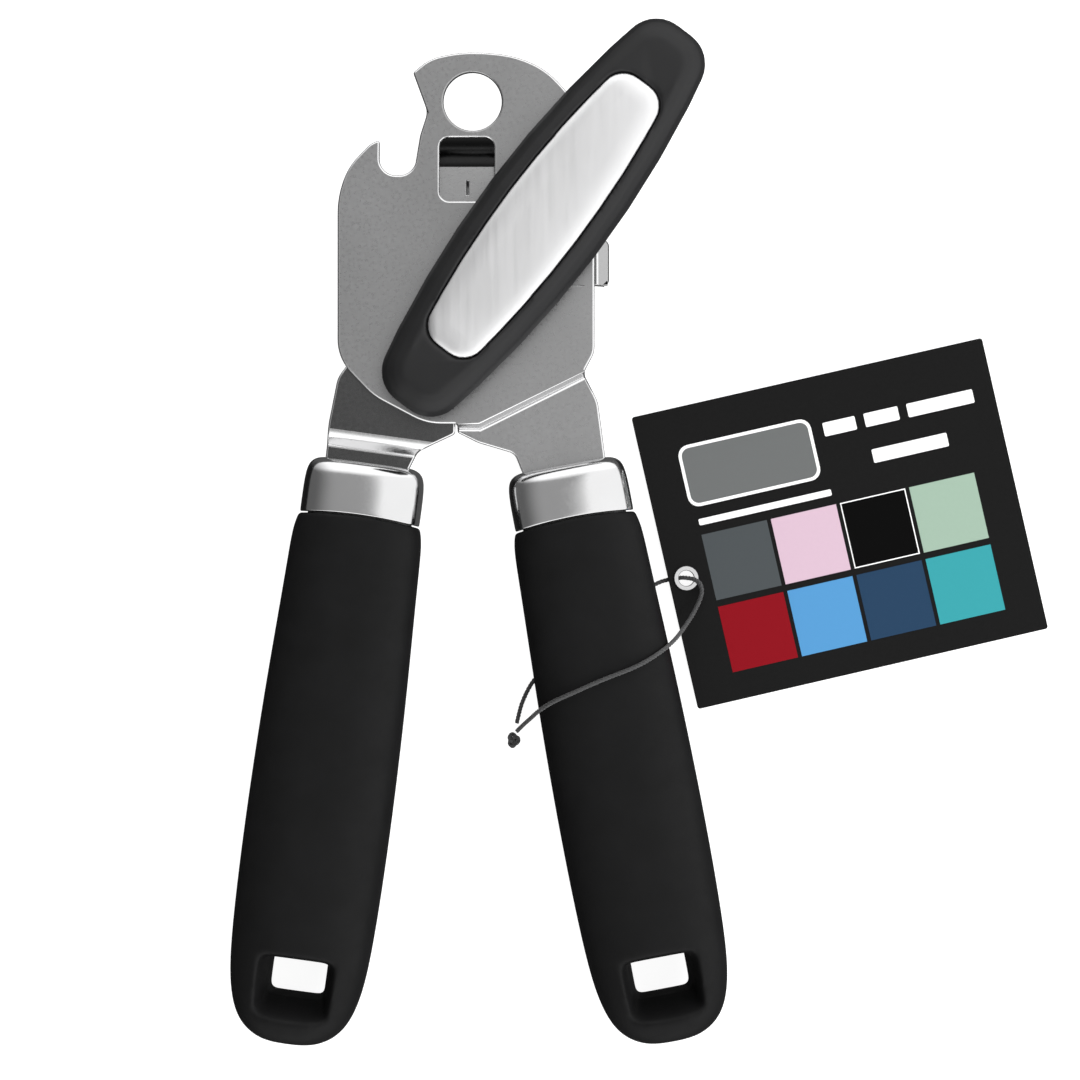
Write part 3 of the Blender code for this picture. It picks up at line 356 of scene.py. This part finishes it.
def pressed(name, node_name, width, segments, bend=None):
    """A finer copy of a pressed piece, with its edges rounded to the given width.

    bend gives the height of the face that a pressed step starts from, and the step's radius.
    """
    piece = merged_copy(name, node_name)
    if bend:
        bend_step(piece, *bend)
    edges = piece.modifiers.new("edges", "BEVEL")
    edges.width = width
    edges.segments = segments
    edges.use_clamp_overlap = False
    edges.limit_method = "ANGLE"
    edges.angle_limit = radians(35)
    bpy.ops.object.modifier_apply(modifier="edges")
    if bend:
        in_squares(piece)
    bpy.ops.object.shade_smooth_by_angle(angle=radians(38))
    flats = piece.modifiers.new("flats", "WEIGHTED_NORMAL")
    flats.keep_sharp = True
    bpy.ops.object.modifier_apply(modifier="flats")
    return piece


# A brighter steel that paints a highlight onto rounded edges and pressed bends.
highlight_steel = steel_finish("painted_edge_highlight", 0.8, 0.2)
satin = steel_finish("satin_sheet", 0.42, 0.3)


def with_bright_edges(sheet, finish):
    """Give a sheet its finish, and its rounded edges and pressed bends a painted highlight."""
    sheet.data.materials.append(finish)
    sheet.data.materials.append(highlight_steel)
    for face in sheet.data.polygons:
        if 0.03 < face.normal.z < 0.99:
            face.material_index = 1


front = pressed("front_arm", "front_plate", 0.44 * MM, 4, (14.2 * MM, 0.4 * MM))
with_bright_edges(front, satin)
HANG_HOLE, HOLE_REACH = Vector((-1.27, 92.76)), 7.2
# The hanging hole's rim is left without the painted highlight.
for face in front.data.polygons:
    if (face.center.xy / MM - HANG_HOLE).length < HOLE_REACH:
        face.material_index = 0         # the hanging hole's rim is satin, like the faces
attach(front, "right_arm")
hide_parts("front_plate")


# ---------------------------------------------------------------- rear plate
# The left arm, from the same sheet. It lies behind the front plate, and that shade is painted into
# its steel, which is much darker. Its lug stands out to the right of the head, in the light.

rear = pressed("rear_arm", "rear_plate", 0.4 * MM, 3, (12.3 * MM, 1.3 * MM))
# The arm's steel is painted dark for the shade it lies in.
with_bright_edges(rear, steel_finish("painted_shade_sheet", 0.13, 0.26))
rear.data.materials.append(satin)
LUG_START = 25.4 * MM
# The lug has the lighter satin steel, with no painted shade.
for face in rear.data.polygons:
    if face.center.x > LUG_START:
        face.material_index = 2         # the lug lies in the light
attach(rear, "left_arm")
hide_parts("rear_plate")


# ---------------------------------------------------------------- rivet, drive and cutter
# Turned steel pieces: the rivet and washers, the shaft in its bushing and its collar, the cutter's
# stud and spacer, and the pins in the handles. The serrated feed wheel and the cutter are ground.

def refinish(finish, names):
    """Give drawn pieces, which stay as they are, a better material."""
    for name in names:
        for material_slot in nodes[name].material_slots:
            material_slot.material = finish


refinish(steel_finish("turned_steel", 0.6, 0.24, 900, (1, 1, 6)),
         ["pivot_rivet", "pivot_washer", "knob_washer", "drive_shaft", "drive_bushing", "feed_collar",
          "cutter_stud", "cutter_spacer", "left_tang_pin", "right_tang_pin"])
refinish(steel_finish("ground_steel", 0.66, 0.2, 1800), ["cutter_wheel", "feed_wheel"])


# ---------------------------------------------------------------- window bracket
# Pressed steel strip behind the window, which guides the can's rim. It is satin where it is flat,
# and painted nearly black where it bends back under the plate, as painted shade.

pressed_finish = steel_finish("pressed_steel", 0.5, 0.3, 1200, (1, 5, 1))
BEND_LENGTH = 6.6 * MM
bracket = pressed("window_bracket", "rim_guide", 0.2 * MM, 2)
bracket.data.materials.append(pressed_finish)
bracket.data.materials.append(steel_finish("painted_shade_bend", 0.02, 0.22))
bend_start = max(vert.co.y for vert in bracket.data.vertices) - BEND_LENGTH
# Faces along the bend get the painted shade.
for face in bracket.data.polygons:
    if face.center.y > bend_start:
        face.material_index = 1
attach(bracket, "right_arm")
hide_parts("rim_guide")


# ---------------------------------------------------------------- knob
# A wing moulded in black plastic over a pressed steel bar, which is fixed on the end of the shaft.
# Its corners are soft, and it has a fine matte grain from its mould.

refinish(pressed_finish, ["knob_core"])


def skinned(thing, voxel):
    """Close a piece's mesh into one even skin."""
    skin = thing.modifiers.new("skin", "REMESH")
    skin.mode = "VOXEL"
    skin.voxel_size = voxel
    bpy.ops.object.modifier_apply(modifier="skin")


def relaxed(thing, turns, group=""):
    """Round over the corners of a skin, all over or only where a vertex group says."""
    relax = thing.modifiers.new("relax", "SMOOTH")
    relax.factor = 0.5
    relax.iterations = turns
    relax.vertex_group = group
    bpy.ops.object.modifier_apply(modifier="relax")


shell_finish, tree, shader = new_finish("moulded_black", (0.011, 0.011, 0.0115), 0.42)
tree.links.new(between(tree, object_grain(tree, 90, 3), 0.38, 0.47), shader.inputs["Roughness"])
bumped(tree, shader, object_grain(tree, 5200, 3), 0.00003, 0.5)
shader.inputs["Specular IOR Level"].default_value = 0.3

shell = merged_copy("wing_shell", "knob_shell")
skinned(shell, 0.4 * MM)
relaxed(shell, 8)
bpy.ops.object.shade_smooth()
shell.data.materials.append(shell_finish)
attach(shell, "drive")
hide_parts("knob_shell")


# ---------------------------------------------------------------- cover plate
# Brushed stainless plate set into the top of the knob. Its edge is softly domed, and it is arched
# along the wing.

KNOB_TURN = radians(-37)
SHAFT = Vector((13.83, 67.06, 0)) * MM
CROWN, REACH, TOP, COVER_THICK = 1.6 * MM, 49.8 * MM, 27.6 * MM, 1.4 * MM
DOME = ((0.2, 0.2), (0.5, 0.22), (0.9, 0.18), (1.3, 0.1), (1.6, 0.05))
OUTLINE_POINTS = 120
ARCH_STEP = 4


def evenly(points, count):
    """Points at equal steps round a closed line."""
    closed = points + points[:1]
    walked = [0.0]
    for a, b in zip(closed, closed[1:]):
        walked.append(walked[-1] + (b - a).length)
    spread = []
    for step in range(count):
        goal = walked[-1] * step / count
        k = bisect_right(walked, goal) - 1
        spread.append(closed[k].lerp(closed[k + 1], (goal - walked[k]) / (walked[k + 1] - walked[k])))
    return spread


along_wing = Matrix.Rotation(-KNOB_TURN, 4, "Z") @ Matrix.Translation(-SHAFT)
drawn = [(along_wing @ vert.co).xy for vert in nodes["knob_insert"].data.vertices]
outline = evenly(sorted(drawn, key=lambda point: atan2(point.y, point.x)), OUTLINE_POINTS)
bpy.ops.object.select_all(action="DESELECT")
bpy.ops.mesh.primitive_circle_add(vertices=OUTLINE_POINTS, fill_type="NGON")
insert = bpy.context.object
insert.name = "cover_plate"
for vert, point in zip(insert.data.vertices, outline):
    vert.co = (point.x, point.y, TOP - COVER_THICK)
bpy.ops.object.mode_set(mode="EDIT")
bpy.ops.mesh.select_mode(type="FACE")
bpy.ops.mesh.select_all(action="SELECT")
rise_of_wall = COVER_THICK - sum(rise for wide, rise in DOME) * MM
bpy.ops.mesh.extrude_region_move(TRANSFORM_OT_translate={"value": (0, 0, rise_of_wall)})
for wide, rise in DOME:
    bpy.ops.mesh.inset(thickness=wide * MM, depth=rise * MM, use_even_offset=True)
for place in range(-30, 32, ARCH_STEP):
    bpy.ops.mesh.bisect(plane_co=(0, place * MM, 0), plane_no=(0, 1, 0))
bpy.ops.mesh.select_all(action="SELECT")
bpy.ops.mesh.normals_make_consistent(inside=False)
bpy.ops.object.mode_set(mode="OBJECT")
for vert in insert.data.vertices:
    vert.co.z -= CROWN * (vert.co.y / REACH) ** 2
insert.data.transform(along_wing.inverted())
bpy.ops.object.shade_smooth_by_angle(angle=radians(50))
insert.data.materials.append(
    steel_finish("brushed_cover", 0.86, 0.4, 700, (1, 0.06, 1), KNOB_TURN, 0.000006))
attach(insert, "drive")
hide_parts("knob_insert")


# ---------------------------------------------------------------- ferrules
# Deep-drawn stainless collars, polished, with a rounded shoulder and a slot for the arm. The rim
# that meets the grip is bowed towards the head.

HANDLES = {
    "left": (Vector((-23.97, 15.96, 9.6)), radians(-7.76)),
    "right": (Vector((18.23, 15.46, 9.6)), radians(10.77)),
}
BODY = {"left": "left_arm", "right": "right_arm"}
SEAM_HALF_WIDTH = 12.95
BOW, BOW_START, BOW_END, BOW_FADE = 0.9, 8.0, 20.0, 4.0
SQUARENESS = 2.6


def lofted(name, sections, squareness, count=40):
    """A skin over sections (place, half width, half thickness) along +Z, extruded from a disc."""
    bpy.ops.object.select_all(action="DESELECT")
    bpy.ops.mesh.primitive_circle_add(vertices=count, radius=1.0, fill_type="NGON")
    thing = bpy.context.object
    thing.name = name
    for vert in thing.data.vertices:
        x, y = vert.co.x, vert.co.y
        vert.co.x = abs(x) ** (2 / squareness) * (1 if x > 0 else -1)
        vert.co.y = abs(y) ** (2 / squareness) * (1 if y > 0 else -1)
    place, wide, thick = sections[0]
    for vert in thing.data.vertices:
        vert.co = (vert.co.x * wide * MM, vert.co.y * thick * MM, place * MM)
    bpy.ops.object.mode_set(mode="EDIT")
    bpy.ops.mesh.select_all(action="SELECT")
    for (was, wide_was, thick_was), (place, wide, thick) in zip(sections, sections[1:]):
        bpy.ops.mesh.extrude_region_move(
            TRANSFORM_OT_translate={"value": (0, 0, (place - was) * MM)})
        bpy.ops.transform.resize(value=(wide / wide_was, thick / thick_was, 1),
                                 center_override=(0, 0, place * MM))
    bpy.ops.mesh.select_all(action="SELECT")
    bpy.ops.mesh.normals_make_consistent(inside=False)
    bpy.ops.object.mode_set(mode="OBJECT")
    return thing


def smoothed(thing):
    """Divide a piece's faces twice into a smooth surface."""
    bpy.context.view_layer.objects.active = thing
    smooth = thing.modifiers.new("smooth", "SUBSURF")
    smooth.levels = 2
    smooth.render_levels = 2
    bpy.ops.object.modifier_apply(modifier="smooth")


def cut_out(thing, cutter):
    """Cut one shape out of another and throw the cutter away."""
    bpy.ops.object.select_all(action="DESELECT")
    bpy.context.view_layer.objects.active = thing
    thing.select_set(True)
    cut = thing.modifiers.new("cut", "BOOLEAN")
    cut.operation = "DIFFERENCE"
    cut.solver = "EXACT"
    cut.object = cutter
    bpy.ops.object.modifier_apply(modifier="cut")
    bpy.data.objects.remove(cutter, do_unlink=True)


def on_handle(thing, side):
    """Put a piece drawn along +Z onto a handle, which runs away from the head."""
    top, lean = HANDLES[side]
    lay_down = Matrix.Rotation(radians(90), 4, "X")
    thing.data.transform(Matrix.Translation(top * MM) @ Matrix.Rotation(lean, 4, "Z") @ lay_down)


def bowed(thing):
    """Bow the sections near the seam of ferrule and grip towards the head, most in the middle."""
    for vert in thing.data.vertices:
        place = vert.co.z / MM
        share = min(1.0, (place - BOW_START) / BOW_FADE, (BOW_END - place) / BOW_FADE)
        across = vert.co.x / MM / SEAM_HALF_WIDTH
        vert.co.z -= BOW * MM * max(0.0, share) * max(0.0, 1 - across * across)


ferrule_finish = steel_finish("polished_collar", 0.72, 0.13, 2200, depth=0.000002)
FERRULE_SECTIONS = [
    (0.0, 3.0, 2.2), (0.0, 8.7, 3.4), (0.25, 10.6, 5.0), (1.2, 12.1, 6.2), (3.0, 12.75, 6.9),
    (6.0, 12.95, 7.1), (9.5, 12.95, 7.15), (12.0, 12.95, 7.2), (12.3, 12.85, 7.1),
    (12.3, 12.0, 6.3), (11.0, 11.9, 6.2), (4.0, 11.7, 5.9), (3.0, 9.0, 4.0), (3.0, 4.0, 2.0),
]
MOUTH_SIZE, MOUTH_PLACE = (18.9 * MM, 2.3 * MM, 6.0 * MM), (0, 0, 1.0 * MM)
for side in ("left", "right"):
    ferrule = lofted(side + "_collar", FERRULE_SECTIONS, SQUARENESS)
    smoothed(ferrule)
    bpy.ops.object.select_all(action="DESELECT")
    bpy.ops.mesh.primitive_cube_add(size=1.0, location=MOUTH_PLACE)
    mouth = bpy.context.object
    mouth.scale = MOUTH_SIZE
    bpy.ops.object.transform_apply(location=True, scale=True)
    cut_out(ferrule, mouth)
    bowed(ferrule)
    on_handle(ferrule, side)
    bpy.ops.object.shade_smooth_by_angle(angle=radians(40))
    ferrule.data.materials.append(ferrule_finish)
    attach(ferrule, BODY[side])
    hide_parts(side + "_ferrule")


# ---------------------------------------------------------------- grips
# Soft-touch black rubber moulded over a rigid core. The hang hole through the butt narrows
# towards the back and has a softly rounded rim.

GRIP_START, GRIP_LENGTH = 12.6, 112.9
GRIP_SHAPE = [
    (0.03, 14.0, 7.6), (0.08, 14.2, 7.65), (0.15, 14.45, 7.7), (0.3, 15.1, 7.8),
    (0.42, 15.45, 8.4), (0.55, 15.65, 9.0), (0.69, 15.6, 9.4), (0.82, 15.2, 9.6),
    (0.89, 14.4, 9.6), (0.938, 13.0, 9.2), (0.969, 11.0, 8.4), (0.989, 8.2, 7.2), (1.0, 4.6, 5.4),
]
HOLE_PLACE = 111.2
RIM_HALF_WIDTH, RIM_HALF_LENGTH, RIM_DEPTH = 12.0, 10.5, 4.5
HOLE_SECTIONS = [
    (-11.4, 8.4, 6.8), (-9.8, 7.3, 5.7), (-8.2, 6.2, 4.6), (-6.6, 5.7, 4.2), (0.0, 6.2, 4.7),
    (5.0, 6.9, 5.4), (7.6, 7.7, 6.2), (9.4, 9.0, 7.4), (11.4, 11.0, 9.3),
]
HOLE_SQUARENESS = 10.0
HOLE_LEAN = 0.22        # its mouth reaches further towards the butt than its waist does

rubber, tree, shader = new_finish("soft_touch_rubber", (0.005, 0.005, 0.005), 0.5)
mottled(tree, shader, object_grain(tree, 140, 4), (0.0035, 0.0035, 0.0035), (0.0065, 0.0065, 0.0068))
tree.links.new(between(tree, object_grain(tree, 320, 5), 0.46, 0.58), shader.inputs["Roughness"])
bumped(tree, shader, object_grain(tree, 6500, 3), 0.00003, 0.45)
shader.inputs["Specular IOR Level"].default_value = 0.13

for side in ("left", "right"):
    sections = [(GRIP_START, 6.0, 3.4), (GRIP_START, 12.5, 6.9), (GRIP_START, 12.95, 7.3),
                (GRIP_START + 0.2, 13.15, 7.45), (GRIP_START + 0.7, 13.35, 7.5)]
    sections += [(GRIP_START + GRIP_LENGTH * share, wide, thick) for share, wide, thick in GRIP_SHAPE]
    grip = lofted(side + "_handle", sections, SQUARENESS)
    smoothed(grip)
    bowed(grip)
    hole = lofted("hang_hole", HOLE_SECTIONS, HOLE_SQUARENESS)
    smoothed(hole)
    for vert in hole.data.vertices:
        vert.co.y += HOLE_LEAN * max(0.0, vert.co.z)
    upright = Matrix.Rotation(radians(90), 4, "X") @ Matrix.Rotation(radians(180), 4, "Y")
    hole.data.transform(Matrix.Translation((0, 0, HOLE_PLACE * MM)) @ upright)
    cut_out(grip, hole)
    skinned(grip, 0.42 * MM)
    rim = grip.vertex_groups.new(name="rim")
    for vert in grip.data.vertices:
        x, y, z = vert.co / MM
        away = max(abs(x) / RIM_HALF_WIDTH, abs(z - HOLE_PLACE) / RIM_HALF_LENGTH)
        weight = max(0.0, min(1.0, (1.25 - away) * 4, (abs(y) - RIM_DEPTH) / 2))
        if weight > 0:
            rim.add([vert.index], weight, "REPLACE")
    relaxed(grip, 3)
    relaxed(grip, 14, "rim")
    on_handle(grip, side)
    bpy.ops.object.shade_smooth()
    grip.data.materials.append(rubber)
    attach(grip, BODY[side])
    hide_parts(side + "_grip")

core_finish, tree, shader = new_finish("moulded_core", (0.06, 0.06, 0.06), 0.5)
bumped(tree, shader, object_grain(tree, 3000, 3), 0.00004, 0.5)
refinish(core_finish, ["left_core", "right_core"])


# ---------------------------------------------------------------- hang tag
# Black card with eight printed colour samples and a bright pressed eyelet. Its mark and its words
# are left out, and plain printed panels stand where they would be.

CARD_HALF_WIDTH, CARD_THICK = 39.25 * MM, 0.4 * MM
INK_GAP, INK_THICK, INK_STEP = 0.02 * MM, 0.03 * MM, 0.04 * MM
far_edge = Matrix.Translation((CARD_HALF_WIDTH, 0, 0))
card_tilt = far_edge @ Matrix.Rotation(radians(1.7), 4, "Y") @ far_edge.inverted()
card_turn = Matrix.Rotation(radians(12.87), 4, "Z")
card_place = Matrix.Translation(Vector((78.43, 2.96, 0.02)) * MM) @ card_turn @ card_tilt

card_finish, tree, shader = new_finish("black_card", (0.006, 0.006, 0.006), 0.55)
mottled(tree, shader, object_grain(tree, 1500, 5), (0.005, 0.005, 0.005), (0.0075, 0.0075, 0.0075))
bumped(tree, shader, object_grain(tree, 2600, 4), 0.00002, 0.4)
shader.inputs["Specular IOR Level"].default_value = 0.08
refinish(card_finish, ["tag_card"])
refinish(steel_finish("plated_eyelet", 0.7, 0.14), ["tag_eyelet"])


def ink(name, color):
    """Matt printing ink that lets the card's grain through."""
    material, tree, shader = new_finish(name, color, 0.55)
    dark = tuple(value * 0.96 for value in color)
    mottled(tree, shader, object_grain(tree, 1500, 5), dark, color)
    bumped(tree, shader, object_grain(tree, 2600, 4), 0.00002, 0.4)
    shader.inputs["Specular IOR Level"].default_value = 0.06
    return material


def printed(name, middle, half, material, level=0, corner=0.0):
    """A thin printed field on the card, its corners rounded, level coats of ink above the first."""
    bpy.ops.object.select_all(action="DESELECT")
    bpy.ops.mesh.primitive_plane_add(size=2.0)
    field = bpy.context.object
    field.name = name
    field.data.transform(Matrix.Diagonal((half[0] * MM, half[1] * MM, 1, 1)))
    bpy.ops.object.mode_set(mode="EDIT")
    bpy.ops.mesh.select_all(action="SELECT")
    if corner:
        bpy.ops.mesh.bevel(offset=corner * MM, segments=5, affect="VERTICES")
        bpy.ops.mesh.select_all(action="SELECT")
    bpy.ops.mesh.extrude_region_move(TRANSFORM_OT_translate={"value": (0, 0, INK_THICK)})
    bpy.ops.mesh.select_all(action="SELECT")
    bpy.ops.mesh.normals_make_consistent(inside=False)
    bpy.ops.object.mode_set(mode="OBJECT")
    lift = CARD_THICK + INK_GAP + level * INK_STEP
    field.data.transform(card_place @ Matrix.Translation((middle[0] * MM, middle[1] * MM, lift)))
    field.data.materials.append(material)
    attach(field, "right_arm")


white_ink = ink("white_ink", (0.86, 0.86, 0.86))
COLUMNS = (-22.8, -7.3, 8.2, 23.7)
ROWS = (-3.05, -19.1)
SAMPLE_HALF, FRAMED_HALF = (7.3, 7.3), (7.05, 7.05)
SAMPLES = [
    [("slate", (0.058, 0.066, 0.07)), ("pink", (0.53, 0.385, 0.465)), ("black", (0.001, 0.001, 0.001)),
     ("sage", (0.275, 0.375, 0.3))],
    [("red", (0.2, 0.004, 0.009)), ("sky", (0.073, 0.245, 0.475)), ("navy", (0.016, 0.042, 0.086)),
     ("teal", (0.034, 0.272, 0.3))],
]
for y, row in zip(ROWS, SAMPLES):
    for x, (name, color) in zip(COLUMNS, row):
        if name == "black":
            printed("sample_frame", (x, y), SAMPLE_HALF, white_ink)
            printed("sample_" + name, (x, y), FRAMED_HALF, ink("ink_" + name, color), 1)
        else:
            printed("sample_" + name, (x, y), SAMPLE_HALF, ink("ink_" + name, color))
grey_ink = ink("grey_ink", (0.12, 0.125, 0.125))
PANEL = (-16.4, 17.2)
printed("panel_frame", PANEL, (14.8, 6.8), white_ink, 0, 2.4)
printed("panel_field", PANEL, (14.1, 6.1), grey_ink, 1, 1.8)
BARS = [((4.6, 20.6), (3.6, 1.5)), ((14.0, 20.6), (3.8, 1.5)), ((27.2, 20.6), (7.4, 1.5)),
        ((18.6, 12.6), (8.4, 1.5)), ((-15.2, 7.0), (14.8, 0.7))]
for middle, half in BARS:
    printed("line", middle, half, white_ink, 0, 0.3)
